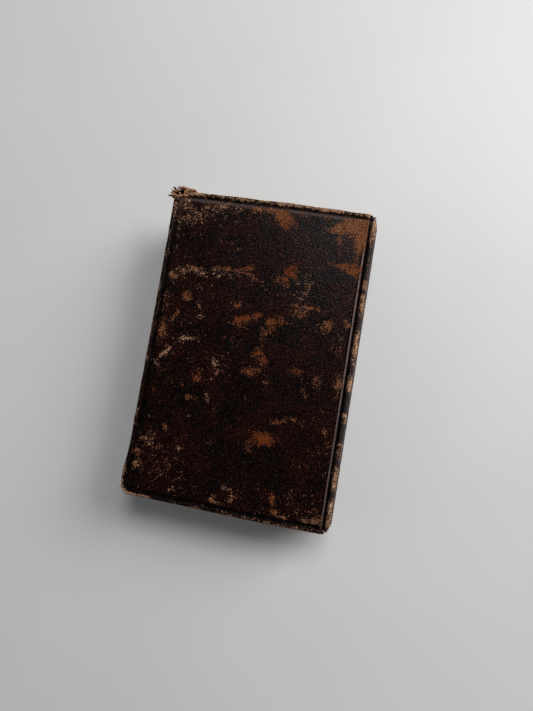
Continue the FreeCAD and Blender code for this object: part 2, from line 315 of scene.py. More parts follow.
CORNER_STEPS = round((CORNER_REACH - INNER_INSET) / GRID_STEP)
CORNER_SHARES = [i / CORNER_STEPS for i in range(1, CORNER_STEPS + 1)]
JOINT_COLUMNS = steps(SEAM, JOINT_START - 1.0, JOINT_STEP)[:-1]
COLUMNS = JOINT_COLUMNS + steps(JOINT_START - 1.0, FORE + CORNER_REACH, GRID_STEP)
ROWS = steps(-(HALF_HEIGHT - CORNER_REACH), HALF_HEIGHT - CORNER_REACH, GRID_STEP)
NX = len(COLUMNS) - 1 + CORNER_STEPS
NY = len(ROWS) - 1 + 2 * CORNER_STEPS


def along_tail(j, inset):
    """Column j on the tail edge's ring: x, and distance in from the tail."""
    if j < len(COLUMNS):
        return COLUMNS[j], inset
    a, b = corner_curve(CORNER_SHARES[j - len(COLUMNS)], inset)
    return FORE + a, b


def along_fore(i, inset):
    """Row i on the fore-edge's ring: distance in from the fore-edge, and y."""
    if CORNER_STEPS <= i <= NY - CORNER_STEPS:
        return inset, ROWS[i - CORNER_STEPS]
    from_tail = i < CORNER_STEPS
    nearest = i if from_tail else NY - i
    share = 1.0 if nearest == 0 else CORNER_SHARES[CORNER_STEPS - 1 - nearest]
    a, b = corner_curve(share, inset)
    return b, (a - HALF_HEIGHT) * (1 if from_tail else -1)


def ring(inset):
    """The cover's outline drawn in by inset, from the joint at the tail round to the joint at the head."""
    tail = [along_tail(j, inset) for j in range(NX)]
    fore = [along_fore(i, inset) for i in range(NY + 1)]
    points = [(x, b - HALF_HEIGHT) for x, b in tail]
    points += [(FORE + a, y) for a, y in fore]
    return points + [(x, HALF_HEIGHT - b) for x, b in reversed(tail)]


def joint_drop(x):
    """How far the leather lies below the cover's face as it runs into the joint."""
    ridge = RIDGE_HEIGHT * math.exp(-(((x - JOINT_START + 0.1) / 0.35) ** 2))
    return JOINT_DEPTH * smoothstep(JOINT_START, JOINT_FLOOR, x) - ridge


def edge_height(x, below):
    """Height of a point on the edge section, thinner where there is no board inside it."""
    thick = COVER_THICK + (JOINT_LEATHER - COVER_THICK) * smoothstep(JOINT_START, JOINT_FLOOR, x)
    return TOP - joint_drop(x) - below * thick / COVER_THICK


def bowed(x, y, inset):
    """The outline of an old cover: the head and tail bow out a little and the fore-edge in."""
    across = max(0.0, 1 - (max(x + 10, 0) / 50) ** 2)
    down = max(0.0, 1 - (y / 55) ** 2)
    near_head = smoothstep(20, HALF_HEIGHT, y)
    near_tail = smoothstep(20, HALF_HEIGHT, -y)
    near_fore = smoothstep(-10, FORE, x) if x < -10 else 0.0
    groove = math.exp(-(((inset - 2.0) / 0.9) ** 2))
    rim = 0.55 + 0.45 * smoothstep(2.4, 0.9, abs(inset))
    y += (HEAD_BOW * across * rim + 0.15 * groove) * near_head
    y -= TAIL_BOW * math.exp(-(((x - 16) / 28) ** 2)) * near_tail
    x -= (FORE_BOW * down + TAIL_FLARE * math.exp(-(((y + 51) / 6) ** 2))) * near_fore
    return x, y


def uneven(kind, x, y, z, seed):
    """Unevenness of one kind: its height and the size of its features."""
    height, size = kind
    return height * rough(x, y, z, size, seed)


def cover_points(seed):
    """Points of one cover's leather, the same points before they are bowed, and their insets."""
    points, insets = [], []
    for inset, below in EDGE_SECTION:
        for x, y in ring(inset):
            points.append((x, y, edge_height(x, below)))
            insets.append(inset if below < UNDER_FACE else -1.0)
    for i in range(1, NY):
        for j in range(NX):
            x, y = along_tail(j, INNER_INSET)[0], along_fore(i, INNER_INSET)[1]
            points.append((x, y, TOP - joint_drop(x)))
            insets.append(min(x - FORE, HALF_HEIGHT - abs(y)))
    made = []
    for (x, y, z), inset in zip(points, insets):
        bx, by = bowed(x, y, inset)
        if inset >= 0:
            z += uneven(FACE_SWELL, x, y, 0, seed) + uneven(FACE_DIMPLE, x, y, 0, seed)
        edge = 1 - smoothstep(0.4, 2.0, abs(inset))
        across = uneven(EDGE_SWELL, x, y, z, seed) + uneven(EDGE_NICK, x, y, z, seed)
        bx += edge * across * (x < BOARD_BACK - 4)
        by += edge * (uneven(EDGE_SWELL, x, y, z, seed + 7) + uneven(EDGE_NICK, x, y, z, seed + 7))
        made.append((bx, by, z))
    return made, points, insets


def cover_faces():
    """The rings of the edge section, then the grid inside the last ring."""
    around = 2 * NX + NY + 1
    rings = len(EDGE_SECTION)
    faces = []
    for k in range(rings - 1):
        for u in range(around - 1):
            a = k * around + u
            faces.append((a, a + 1, a + around + 1, a + around))
    last, inside = (rings - 1) * around, rings * around

    def at(i, j):
        if i == 0:
            return last + j
        if j == NX:
            return last + NX + i
        if i == NY:
            return last + 2 * NX + NY - j
        return inside + (i - 1) * NX + j

    for i in range(NY):
        for j in range(NX):
            faces.append((at(i, j), at(i, j + 1), at(i + 1, j + 1), at(i + 1, j)))
    return faces


def rim_wear(x, y, inset, seed):
    """Wear along the outer rim: most at the corners and the head, least low on the fore-edge."""
    if inset > RIM_WIDTH:
        return 0.0
    corner = smoothstep(14, 2, math.hypot(x - FORE, HALF_HEIGHT - abs(y)))
    patchy = 0.52 + 0.55 * rough(x, y, 0, RIM_BLOTCH, seed) + 0.25 * rough(x, y, 0, RIM_SPECK, seed)
    patchy += 0.22 * smoothstep(52, 58, y) * smoothstep(-34, -22, x)
    patchy += (0.12 + 0.30 * rough(x, y, 0, RIM_GRIT, seed)) * smoothstep(50, 57, abs(y))
    patchy += 0.30 * smoothstep(16, 3, math.hypot(x - FORE, HALF_HEIGHT + y))
    patchy -= 0.22 * smoothstep(-34, -38, x) * smoothstep(-2, -12, y) * smoothstep(-50, -44, y)
    patchy += 0.30 * rough(x, y, 0, HEAD_BLOTCH, seed + 5) * smoothstep(54, 57, y)
    reach = 0.5 * smoothstep(50, 57, y)
    return (patchy + 0.45 * corner) * smoothstep(1.6 + reach, 0.7 + reach, abs(inset))


def groove_share(x, y, inset, scraped, seed):
    """How far a place lies in the groove inside the rim, which gets painted shade; the painted dark band is
    widest low on the fore-edge.
    """
    by_head = smoothstep(48, 55, y)
    by_fore = smoothstep(-34, -36, x) * smoothstep(HALF_HEIGHT - 3, HALF_HEIGHT - 5, abs(y))
    low_fore = by_fore * smoothstep(-6, -16, y) * smoothstep(-47, -40, y)
    share = smoothstep(1.1 + 0.4 * by_head, 1.6 + 0.3 * by_head, inset)
    inner = 3.3 - 0.4 * by_head + 0.7 * by_fore + 1.5 * low_fore
    share *= smoothstep(inner, 2.7 - 0.4 * by_head + 1.2 * low_fore, inset)
    share *= (1 - 0.7 * scraped) * min(1.0, 0.82 + 0.55 * rough(x, y, 0, 2.2, seed))
    return share


def polish(x, y, inset):
    """Painted highlight: the light line along the crease beside the joint, and a fainter one inside the
    groove at the head.
    """
    along = (0.55 + 0.45 * smoothstep(-50, 20, y)) * smoothstep(HALF_HEIGHT, HALF_HEIGHT - 5, abs(y))
    ridge = math.exp(-(((x - JOINT_START - 0.12) / 0.26) ** 2)) * along
    head_line = 0.35 * math.exp(-(((inset - 2.9) / 0.5) ** 2)) * smoothstep(50, 56, y)
    return max(ridge, head_line)


def add_wear(made, places, insets, patches, seed):
    """Set how worn and pale the leather is at each point, its painted shade (in a groove, the joint, and on
    the rounded rim below the head) and its painted highlight.
    """
    worn, pale, deep, polished = [], [], [], []
    for (x, y, z), inset in zip(places, insets):
        on_face = inset >= 0
        amount, paleness = patch_values(x, y, patches) if on_face else (0.0, EDGE_PALENESS)
        edge = smoothstep(16, 2, min(x - FORE, HALF_HEIGHT - abs(y), BOARD_BACK - x + 4))
        scraped = smoothstep(36, 50, y) * smoothstep(-28, -37, x)
        base = 0.04 + 0.17 * edge + 0.15 * rough(x, y, 0, 12, seed) + 0.30 * scraped
        amount = max(amount, base) + 0.25 * min(amount, base)
        in_groove = groove_share(x, y, inset, scraped, seed) if on_face else 0.0
        in_joint = smoothstep(JOINT_START + 0.35, JOINT_START + 0.75, x)
        amount *= (1 - 0.75 * in_groove) * (1 - in_joint)
        near_top = 0.72 + 0.28 * smoothstep(TOP - 1.0, TOP - 0.3, z)
        rim = rim_wear(x, y, inset, seed) * (1 - in_joint) * near_top
        rim_pale = 0.72 + 0.4 * rough(x, y, 0, 7, seed) + 0.15 * smoothstep(54, 57, y)
        below_head = 1 - smoothstep(48, 55, y)
        worn.append(max(amount, rim))
        pale.append(FACE_PALENESS * paleness if amount > rim else rim_pale)
        # painted shade: the groove, the joint, and the rounded rim everywhere but at the head
        deep.append(max(in_groove, in_joint, 0.6 * smoothstep(1.2, 0.6, abs(inset)) * below_head))
        # painted highlight lines
        polished.append(polish(x, y, inset) if on_face else 0.0)
    set_values(made, worn=worn, pale=pale, deep=deep, polished=polished)


def solid_shell(made, thickness):
    """Give an outer face its thickness, inwards."""
    shell = made.modifiers.new("shell", "SOLIDIFY")
    shell.thickness = thickness * MM
    shell.offset = -1.0
    shell.use_even_offset = False


def cover_leather(side, patches, seed, look):
    points, places, insets = cover_points(seed)
    if side == "back":
        points = [(x, y, TOP - z) for x, y, z in points]
    made = new_object(f"{side}_leather", points, cover_faces())
    add_wear(made, places, insets, patches, seed)
    made.data.materials.append(look)
    solid_shell(made, LEATHER_SHELL)
    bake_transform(made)
    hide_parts(f"{side}_cover_leather")


# ---------------------------------------------------------------- shader helpers
class Shader:
    """A material's node tree, with short calls for the few kinds of node used here."""

    def __init__(self, name):
        self.material = bpy.data.materials.new(name)
        self.material.use_nodes = True
        self.tree = self.material.node_tree
        self.surface = self.tree.nodes["Principled BSDF"]
        self.place = self.tree.nodes.new("ShaderNodeTexCoord").outputs["Object"]

    def node(self, kind, inputs=None, **settings):
        made = self.tree.nodes.new("ShaderNode" + kind)
        for name, value in settings.items():
            setattr(made, name, value)
        for name, value in (inputs or {}).items():
            self.feed(made.inputs[name], value)
        return made

    def feed(self, socket, value):
        if isinstance(value, bpy.types.NodeSocket):
            self.tree.links.new(value, socket)
        else:
            socket.default_value = value

    def noise(self, size, detail=3.0, roughness=0.55, place=None, distortion=0.0):
        """Noise with features of this size in millimetres, from 0 to 1."""
        return self.node(
            "TexNoise",
            {
                "Vector": place or self.place,
                "Scale": 1 / (size * MM),
                "Detail": detail,
                "Roughness": roughness,
                "Distortion": distortion,
            },
        ).outputs["Fac"]

    def cells(self, size, feature, smooth=0.0, place=None):
        """Rounded cells of this size in millimetres, or the lines between them."""
        inputs = {"Vector": place or self.place, "Scale": 1 / (size * MM)}
        made = self.node("TexVoronoi", inputs, feature=feature)
        if feature == "SMOOTH_F1":
            made.inputs["Smoothness"].default_value = smooth
        return made.outputs["Distance"]

    def value(self, name):
        """What set_values stored at each point."""
        return self.node("Attribute", attribute_name=name).outputs["Fac"]

    def math(self, operation, a, b=0.0, clamp=False):
        made = self.node("Math", operation=operation, use_clamp=clamp)
        self.feed(made.inputs[0], a)
        self.feed(made.inputs[1], b)
        return made.outputs[0]

    def spread(self, value, low, high, to_low=0.0, to_high=1.0):
        """A smooth step between low and high."""
        return self.node(
            "MapRange",
            {"Value": value, "From Min": low, "From Max": high, "To Min": to_low, "To Max": to_high},
            interpolation_type="SMOOTHSTEP",
        ).outputs["Result"]

    def mix(self, share, a, b):
        made = self.node("Mix", data_type="RGBA")
        self.feed(made.inputs["Factor"], share)
        self.feed(made.inputs["A"], a)
        self.feed(made.inputs["B"], b)
        return made.outputs["Result"]

    def stretched(self, x, y, z):
        made = self.node("Mapping", {"Vector": self.place, "Scale": (x, y, z)})
        return made.outputs["Vector"]

    def bump(self, height, distance, normal=None, strength=1.0):
        made = self.node("Bump", {"Height": height, "Distance": distance * MM, "Strength": strength})
        if normal is not None:
            self.feed(made.inputs["Normal"], normal)
        return made.outputs["Normal"]

    def set(self, **inputs):
        for name, value in inputs.items():
            self.feed(self.surface.inputs[name.replace("_", " ")], value)
        return self.material


PEBBLE = 1.0  # size of the pebbles of the leather, in millimetres
WANDER = 0.0009  # how far the pebbles' outlines stray, in metres
DYE_BLACK, DYE_RED = (0.0060, 0.0027, 0.0016, 1), (0.0250, 0.0044, 0.0032, 1)
DYE_RUBBED, DYE_SCRATCHED = (0.044, 0.0120, 0.0068, 1), (0.085, 0.048, 0.038, 1)
# The second black is painted shade for the grooves, the joint and the rounded rim, on dye that is darker
# there anyway; the first is the dye in the grain's creases.
CREASE_BLACK, GROOVE_SHADE_BLACK = (0.0016, 0.0008, 0.0007, 1), (0.0024, 0.0017, 0.0016, 1)
# The grey is a painted highlight for the crease beside the joint, the groove at the head and the spine's
# ribs.
HIGHLIGHT_GREY = (0.270, 0.215, 0.205, 1)
RUST_TAN, RUST_CREAM = (0.075, 0.021, 0.007, 1), (0.100, 0.056, 0.038, 1)
BARE_TAN, BARE_CREAM = (0.200, 0.046, 0.004, 1), (0.520, 0.335, 0.215, 1)
PIT_BROWN = (0.060, 0.018, 0.007, 1)


def leather_look():
    """Dyed, pebbled leather, which goes through rust to bare tan or cream where it is worn, with painted
    shade in the grooves and the joint and painted highlights along the crease and the ribs.
    """
    s = Shader("worn_leather")
    worn, pale, deep = s.value("worn"), s.value("pale"), s.value("deep")
    wander = s.node("Mix", {"Factor": WANDER}, data_type="VECTOR")
    s.feed(wander.inputs["A"], s.place)
    stray = s.node("TexNoise", {"Vector": s.place, "Scale": 900.0, "Detail": 1.0})
    s.feed(wander.inputs["B"], stray.outputs["Color"])
    bent = wander.outputs["Result"]
    pebbles = s.cells(PEBBLE, "SMOOTH_F1", smooth=0.3, place=bent)
    creases = s.cells(PEBBLE, "DISTANCE_TO_EDGE", place=bent)
    fine = s.noise(0.5, 3.0, 0.6)
    blotch = s.noise(2.2, 5.0, 0.68, distortion=0.8)
    broad = s.noise(9.0, 3.0, 0.55)
    scratches = s.noise(0.55, 3.0, 0.6, place=s.stretched(1.0, 0.2, 1.0))
    # the surviving dye: nearly black in the creases, red-brown on the pebbles
    dye = s.mix(s.spread(broad, 0.40, 0.60), DYE_BLACK, DYE_RED)
    tops = s.math("ADD", s.math("MULTIPLY", fine, 0.8), s.math("MULTIPLY", pebbles, -0.5))
    dye = s.mix(s.math("MULTIPLY", s.spread(tops, 0.10, 0.38), 0.55), dye, DYE_RUBBED)
    dye = s.mix(s.spread(scratches, 0.54, 0.80, 0.0, 0.45), dye, DYE_SCRATCHED)
    dye = s.mix(s.spread(creases, 0.22, 0.02), dye, CREASE_BLACK)
    # painted shade: grooves, the joint and the rounded rim below the head go nearly black, partly the unworn
    # dye's own dark and partly shade
    dye = s.mix(s.math("MULTIPLY", deep, 0.9), dye, GROOVE_SHADE_BLACK)
    # painted highlight: a grey light line on the crease beside the joint and in the groove at the head, and a
    # sheen on the spine's ribs
    polished = s.math("MULTIPLY", s.value("polished"), s.spread(fine, 0.25, 0.6))
    dye = s.mix(polished, dye, HIGHLIGHT_GREY)
    # how far the surface has gone, from the place's wear, blotches, the pebbles' tops and fine specks
    ragged = s.math("MULTIPLY", s.math("SUBTRACT", blotch, 0.515), 2.8)
    grain = s.math("MULTIPLY", s.math("SUBTRACT", creases, 0.17), 1.25)
    specks = s.math("MULTIPLY", s.math("SUBTRACT", fine, 0.5), 2.1)
    total = s.math("ADD", s.math("ADD", worn, ragged), s.math("ADD", grain, specks))
    rust = s.mix(pale, RUST_TAN, RUST_CREAM)
    bare = s.mix(pale, BARE_TAN, BARE_CREAM)
    pitted = s.mix(s.spread(pale, 0.35, 0.80, 0.88, 0.58), bare, PIT_BROWN)
    bare = s.mix(s.spread(fine, 0.36, 0.66), pitted, bare)
    bare = s.mix(s.spread(creases, 0.16, 0.01), bare, s.mix(0.62, bare, PIT_BROWN))
    touched = s.spread(total, 0.46, 0.66)
    mask = s.spread(total, 0.60, 1.12)
    colour = s.mix(touched, dye, rust)
    colour = s.mix(mask, colour, bare)
    # relief: pebbles, creases, and the worn places a little lower and rougher
    height = s.math("ADD", s.math("MULTIPLY", pebbles, -0.75), s.math("MULTIPLY", creases, 0.8))
    height = s.math("ADD", height, s.math("MULTIPLY", fine, 0.5))
    normal = s.bump(height, 0.10, strength=0.6)
    normal = s.bump(touched, -0.05, normal, strength=0.5)
    rough_dye = s.spread(fine, 0.3, 0.75, 0.28, 0.40)
    rougher = s.math("MAXIMUM", s.math("MULTIPLY", touched, 0.35), s.math("MULTIPLY", deep, 0.30))
    roughness = s.math("ADD", rough_dye, rougher, clamp=True)
    dull = s.math("MAXIMUM", s.math("MULTIPLY", deep, 0.8), s.math("MULTIPLY", touched, 0.6))
    shine = s.math("MULTIPLY", s.math("SUBTRACT", 1.0, dull), 0.165)
    return s.set(Base_Color=colour, Roughness=roughness, Normal=normal, Specular_IOR_Level=shine)


def paper_look(name, tone, stain, edge_lines=False):
    """Aged paper. On a block of leaves the edges are streaked with fine darker lines that run along the
    leaves.
    """
    s = Shader(name)
    mottle = s.noise(7.0, 4.0, 0.6)
    fox = s.spread(s.noise(2.6, 2.0, 0.4), 0.66, 0.74)
    colour = s.mix(s.spread(mottle, 0.3, 0.7), tone, stain)
    colour = s.mix(s.math("MULTIPLY", fox, 0.35), colour, (0.30, 0.16, 0.07, 1))
    fibres = s.noise(0.35, 3.0, 0.6)
    if edge_lines:
        lines = s.noise(0.16, 2.0, 0.6, place=s.stretched(0.02, 0.02, 1.0))
        colour = s.mix(s.spread(lines, 0.55, 0.30), colour, s.mix(0.65, colour, (0.16, 0.10, 0.05, 1)))
        fibres = s.math("ADD", fibres, s.math("MULTIPLY", lines, 1.5))
    normal = s.bump(fibres, 0.05, strength=0.5)
    return s.set(Base_Color=colour, Roughness=0.86, Normal=normal, Specular_IOR_Level=0.25)


def board_look():
    """Grey-brown millboard with a fibrous face."""
    s = Shader("grey_board")
    fibres = s.noise(0.8, 5.0, 0.7, place=s.stretched(1.0, 0.4, 2.5))
    colour = s.mix(s.spread(fibres, 0.3, 0.7), (0.150, 0.098, 0.056, 1), (0.330, 0.250, 0.165, 1))
    return s.set(Base_Color=colour, Roughness=0.9, Normal=s.bump(fibres, 0.15, strength=0.7))


def woven_look(name, tone, shade, pitch):
    """Plain-woven cloth or twisted thread: two sets of yarns, over and under."""
    s = Shader(name)
    yarns = []
    for direction in ("Y", "Z"):
        made = s.node(
            "TexWave",
            {"Vector": s.place, "Scale": 0.31 / (pitch * MM), "Distortion": 0.6, "Detail": 1.0},
            bands_direction=direction,
        )
        yarns.append(made.outputs["Fac"])
    weave = s.math("MULTIPLY", yarns[0], yarns[1])
    colour = s.mix(s.spread(weave, 0.05, 0.6), shade, tone)
    colour = s.mix(s.spread(s.noise(3.0, 3.0), 0.4, 0.75), colour, s.mix(0.5, colour, shade))
    normal = s.bump(weave, 0.08, strength=0.8)
    return s.set(Base_Color=colour, Roughness=0.85, Normal=normal, Sheen_Weight=0.2)


def silk_look():
    """Endband silk, wound in two colours."""
    s = Shader("endband_silk")
    strands = s.noise(0.12, 2.0, 0.5, place=s.stretched(0.15, 0.15, 1.0))
    colour = s.mix(s.value("stripe"), (0.42, 0.33, 0.20, 1), (0.155, 0.022, 0.020, 1))
    colour = s.mix(s.spread(s.noise(1.4, 4.0, 0.6), 0.45, 0.75), colour, (0.06, 0.035, 0.022, 1))
    normal = s.bump(strands, 0.05, strength=0.7)
    return s.set(Base_Color=colour, Roughness=0.48, Normal=normal, Sheen_Weight=0.4)


def frayed_look():
    """Torn leather: the fibrous orange-brown inside, with dark dyed skin left on some shreds."""
    s = Shader("frayed_leather")
    fibres = s.noise(0.30, 4.0, 0.65)
    colour = s.mix(s.spread(fibres, 0.25, 0.7), (0.080, 0.034, 0.017, 1), (0.520, 0.290, 0.170, 1))
    colour = s.mix(s.value("skin"), colour, (0.014, 0.007, 0.005, 1))
    normal = s.bump(fibres, 0.08, strength=0.8)
    return s.set(Base_Color=colour, Roughness=0.85, Normal=normal, Specular_IOR_Level=0.2)


# ---------------------------------------------------------------- the spine's leather
SKIN_START = 36.9  # where it begins, down in the joint
SKIN_THICK = 0.42
CAP_RADIUS = 3.1
CAP_SINK = 0.07  # the ends of the spine's leather draw in towards the middle of the thickness
END_GAP = 0.15  # the caps stop this far short of the covers' head and tail
ROW_STEP = 0.7
BACK_CENTRE, BACK_RADIUS = -20.0, 60.0  # the gently rounded back, as an arc in x and z
BACK_HEIGHTS = (21.0, 20.2, 19.0, 17.6, 16.0, 14.4, 12.9)
# The rib beside the front joint, x and z.
RIB = [
    (36.9, 20.95), (37.12, 21.30), (37.30, 21.70), (37.50, 22.08), (37.80, 22.36), (38.15, 22.48),
    (38.50, 22.43), (38.80, 22.22), (39.02, 21.92), (39.13, 21.58),
]
# Where the ribs are rubbed through: y, half length, strength.
RIB_WEAR = [
    (52.5, 5.5, 1.25), (40.5, 2.0, 0.45), (32.0, 2.4, 0.95), (24.5, 4.8, 1.20), (9.0, 7.0, 1.15),
    (-4.5, 3.8, 1.15), (-17.0, 2.4, 1.05), (-29.5, 3.8, 1.05), (-39.0, 5.0, 1.15), (-51.5, 5.5, 1.20),
]
# Rubbed places on the back: y, z, half length, half height, strength.
BACK_WEAR = [
    (54, 11.5, 4.0, 10.0, 1.00), (-55, 11.5, 4.0, 10.0, 1.00),
    (38, 6.0, 3.0, 2.0, 0.80), (20, 15.5, 5.0, 1.6, 0.85), (3, 9.0, 2.4, 3.0, 0.80),
    (-14, 14.5, 6.0, 1.4, 0.75), (-30, 7.5, 3.0, 2.4, 0.85), (-43, 15.0, 3.5, 2.0, 0.75),
]


def spine_section():
    """The leather's outer face, from the front joint over the rib and round the back to the other joint."""
    half = list(RIB)
    for z in BACK_HEIGHTS:
        half.append((BACK_CENTRE + math.sqrt(BACK_RADIUS**2 - (z - MIDDLE) ** 2), z))
    crown = [(BACK_CENTRE + BACK_RADIUS, MIDDLE)]
    return half + crown + [(x, TOP - z) for x, z in reversed(half)]


def spine_rows():
    """Stations along the spine: y, share of the section's depth, and how far it draws in."""
    crown = SPINE_HIGH.x
    end = HALF_HEIGHT - END_GAP
    rows = [(y, 1.0, 0.0) for y in steps(0, end - CAP_RADIUS, ROW_STEP)]
    for a in (15, 30, 45, 60, 75, 90):
        c, s = math.cos(math.radians(a)), math.sin(math.radians(a))
        depth = crown - CAP_RADIUS * (1 - c) - SKIN_START
        share = max(depth / (crown - SKIN_START), 0.30 - 0.03 * s)
        rows.append((end - CAP_RADIUS * (1 - s), share, CAP_SINK * s * s))
    rows += [(end - 0.15, 0.24, 0.085), (end - 0.6, 0.22, 0.10), (end - 1.1, 0.26, 0.11)]
    return [(-y, k, d) for y, k, d in reversed(rows[1:])] + rows


def rib_share(z):
    """1 on either rib and 0 on the back between them."""
    return smoothstep(19.0, 20.8, z) + smoothstep(TOP - 19.0, TOP - 20.8, z)


def spine_point(x, y, z, share, drawn):
    near_end = smoothstep(48, 58, abs(y))
    dent = (0.05 + 0.10 * near_end) * rough(x, y, z, 6, 3.0) + 0.04 * rough(x, y, z, 1.5, 9.0)
    out = smoothstep(SKIN_START + 0.4, 38.0, x)
    px = SKIN_START + (x - SKIN_START) * share - 0.12 * out + dent * out
    pz = MIDDLE + (z - MIDDLE) * (1 - drawn) + 0.06 * rib_share(z) * rough(0, y, z, 4, 2.0)
    return px, y, pz


def spine_wear(x, y, z):
    """How worn the spine is: rubbed through in places along the ribs, on the back and at the caps."""
    rib = max(s * math.exp(-(((y - c) / r) ** 4)) for c, r, s in RIB_WEAR)
    rib *= 0.86 + 0.30 * rough(x, y, z, 2.5, 8.0) + 0.34 * rough(x, y, z, 1.1, 5.0)
    back = max(s * math.exp(-(((y - c) / r) ** 2 + ((z - m) / h) ** 2)) for c, m, r, h, s in BACK_WEAR)
    cap = 1.15 * smoothstep(57.0, 58.4, abs(y)) * (0.7 + 0.5 * rough(x, y, z, 2, 6.0))
    edge = 0.62 * smoothstep(16.0, 20.5, z) + 0.62 * smoothstep(TOP - 16.0, TOP - 20.5, z)
    return max(rib * rib_share(z), 0.22, back, cap, edge * min(1.0, 0.3 + rib))


def spine_skin(look):
    section, rows = spine_section(), spine_rows()
    points, worn, pale, deep, polished = [], [], [], [], []
    for y, share, drawn in rows:
        for x, z in section:
            points.append(spine_point(x, y, z, share, drawn))
            worn.append(spine_wear(x, y, z))
            pale.append(0.60 + 0.40 * rough(x, y, z, 6, 4.0) + 0.40 * rib_share(z))
            # painted shade in the joint beside the rib; the rest of the spine's dye is taken half way to the
            # same black
            deep.append(max(smoothstep(37.7, 37.3, x), 0.5))
            # a faint painted sheen along the ribs
            polished.append(0.12 * rib_share(z))
    width = len(section)
    faces = []
    for i in range(len(rows) - 1):
        for j in range(width - 1):
            a = i * width + j
            faces.append((a, a + 1, a + width + 1, a + width))
    made = new_object("spine_skin", points, faces)
    set_values(made, worn=worn, pale=pale, deep=deep, polished=polished)
    made.data.materials.append(look)
    solid_shell(made, SKIN_THICK)
    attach(made, "spine")
    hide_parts("spine_leather")


# ---------------------------------------------------------------- the leaves
LEAVES_PER_GATHERING = 8
LEAF_GAP = 0.035
LEAF_CORNER = 2.5
LEAF_ROWS = 10
BEND_START, BEND_END = 34.0, 22.0  # the leaves are divided finely between these


def leaf_columns(fore):
    """Where a leaf is divided along x: finely round its corner and between BEND_END and BEND_START."""
    near = [0.0, 0.12, 0.3, 0.6, 1.0, 1.6, LEAF_CORNER]
    far = steps(fore + 4.5, BEND_END - 1, 4.5) + steps(BEND_END, BEND_START, 0.8)
    return [fore + d for d in near] + far


def add_leaf(points, faces, fore, half, low, high):
    """One closed leaf with rounded outer corners, added to a list of points and faces."""
    columns, rows = leaf_columns(fore), LEAF_ROWS
    base = len(points)
    for z in (low, high):
        for x in columns:
            reach = max(0.0, LEAF_CORNER - (x - fore))
            end = half - (LEAF_CORNER - math.sqrt(max(LEAF_CORNER**2 - reach**2, 0.0)))
            for j in range(rows + 1):
                y = end * (2 * j / rows - 1)
                wave = 0.05 * rough(x, y, 0, 26, 8.0) * smoothstep(30, -10, x)
                points.append((x, y, z + wave))
    count = len(columns) * (rows + 1)

    def at(top, i, j):
        return base + top * count + i * (rows + 1) + j

    nx = len(columns)
    for i in range(nx - 1):
        for j in range(rows):
            faces.append((at(1, i, j), at(1, i + 1, j), at(1, i + 1, j + 1), at(1, i, j + 1)))
            faces.append((at(0, i, j + 1), at(0, i + 1, j + 1), at(0, i + 1, j), at(0, i, j)))
        faces.append((at(0, i, 0), at(0, i + 1, 0), at(1, i + 1, 0), at(1, i, 0)))
        faces.append((at(1, i, rows), at(1, i + 1, rows), at(0, i + 1, rows), at(0, i, rows)))
    for j in range(rows):
        faces.append((at(1, 0, j), at(1, 0, j + 1), at(0, 0, j + 1), at(0, 0, j)))
        faces.append((at(0, nx - 1, j), at(0, nx - 1, j + 1), at(1, nx - 1, j + 1), at(1, nx - 1, j)))


def leaf_block(node, count, look, edge_look, name):
    """The loose part of a gathering, or a flyleaf: separate leaves that are not quite of one size."""
    low, high = box_mm(node)
    draw = random.Random(name)
    pitch = (high.z - low.z) / count
    points, faces = [], []
    for k in range(count):
        fore = low.x + max(0.0, draw.gauss(0.10, 0.09))
        half = high.y - max(0.0, draw.gauss(0.08, 0.07))
        gap = LEAF_GAP if count > 1 else 0.0
        under, over = low.z + k * pitch + gap / 2, low.z + (k + 1) * pitch - gap / 2
        add_leaf(points, faces, fore, half, under, over)
    made = new_object(name, points, faces, smooth=False)
    made.data.materials.append(look)
    made.data.materials.append(edge_look)
    for polygon in made.data.polygons:
        polygon.material_index = int(abs(polygon.normal.z) < 0.5)
    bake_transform(made)
    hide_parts(node)


# ---------------------------------------------------------------- the endbands
BAND_BEADS = 19
BAND_AROUND, BAND_PER_BEAD = 16, 8  # points round the core, and rings to a bead
BAND_GAP = 0.05


def endband(node, look):
    """Silk wound over a core in two colours, with a bead on the side of the leaves."""
    low, high = box_mm(node)
    radius = (high.y - low.y) / 2
    centre_x = high.x - radius - BAND_GAP
    centre_y = (low.y + high.y) / 2
    around, per_bead = BAND_AROUND, BAND_PER_BEAD
    points, faces, stripe = [], [], []
    count = BAND_BEADS * per_bead
    for i in range(count + 1):
        z = low.z + BAND_GAP + (high.z - low.z - 2 * BAND_GAP) * i / count
        swell = abs(math.sin(math.pi * i / per_bead)) ** 0.6
        ends = math.sqrt(max(0.0, 1 - (2 * i / count - 1) ** 12))
        r = radius * (0.80 + 0.19 * swell) * (0.35 + 0.65 * ends)
        for j in range(around):
            a = 2 * math.pi * j / around
            bead = 1.0 + (0.25 if math.cos(a) < -0.75 else 0.0) * swell
            points.append((centre_x + r * bead * math.cos(a), centre_y + r * math.sin(a), z))
            stripe.append(float((i // per_bead) % 2))
    for i in range(count):
        for j in range(around):
            a, b = i * around + j, i * around + (j + 1) % around
            faces.append((a, b, b + around, a + around))
    faces.append(tuple(range(around)))
    faces.append(tuple(count * around + j for j in range(around)))
    made = new_object(f"{node}_silk", points, faces)
    set_values(made, stripe=stripe)
    made.data.materials.append(look)
    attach(made, "spine")
    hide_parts(node)


# ---------------------------------------------------------------- torn leather at the corners
SHRED_PARTS = 6
REACH_LOW, REACH_HIGH = Vector((2.2, 3.3, -0.05)), Vector((0.6, 2.5, 0.6))  # how far past the CAD box


